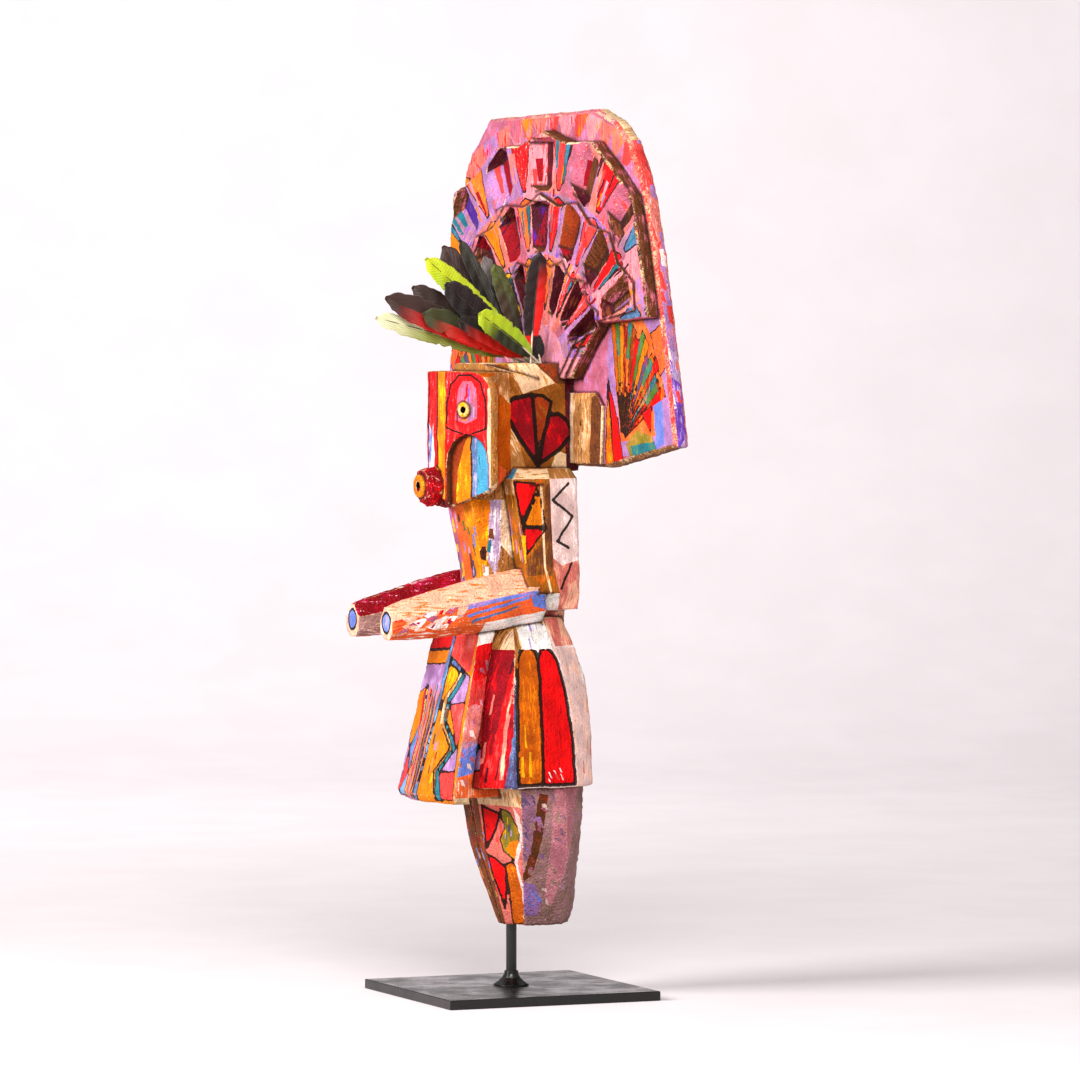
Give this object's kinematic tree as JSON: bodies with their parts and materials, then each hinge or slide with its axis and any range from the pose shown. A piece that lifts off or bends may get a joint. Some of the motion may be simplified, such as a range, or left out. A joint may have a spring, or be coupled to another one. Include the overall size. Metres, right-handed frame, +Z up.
{
  "type": "carved yei figure on stand",
  "caption": "Standing carved figure with a mask, outstretched forearms, apron and tall feather-cut headdress board, on a rod and a square steel plate.",
  "frame": {"origin": "middle of the base plate's underside, on the axis of the stem rod", "axes": "+Z up along the rod, the figure faces -Y, and its own left side is +X"},
  "size_m": [0.4292, 0.1942, 0.6453],
  "materials": {
    "plate_steel": "satin",
    "rod_steel": "semi-gloss",
    "painted_carving": "matt painted",
    "feather": "soft sheen"
  },
  "bodies": {
    "root": {"base_plate": "plate_steel", "stem_rod": "rod_steel", "weld_bead": "rod_steel", "carved_figure": "painted_carving", "feather_01": "feather", "feather_02": "feather", "feather_03": "feather", "feather_04": "feather", "feather_05": "feather", "feather_06": "feather", "feather_07": "feather", "feather_08": "feather", "feather_09": "feather", "feather_10": "feather", "feather_11": "feather", "feather_12": "feather", "feather_13": "feather", "feather_14": "feather"}
  },
  "joints": []
}
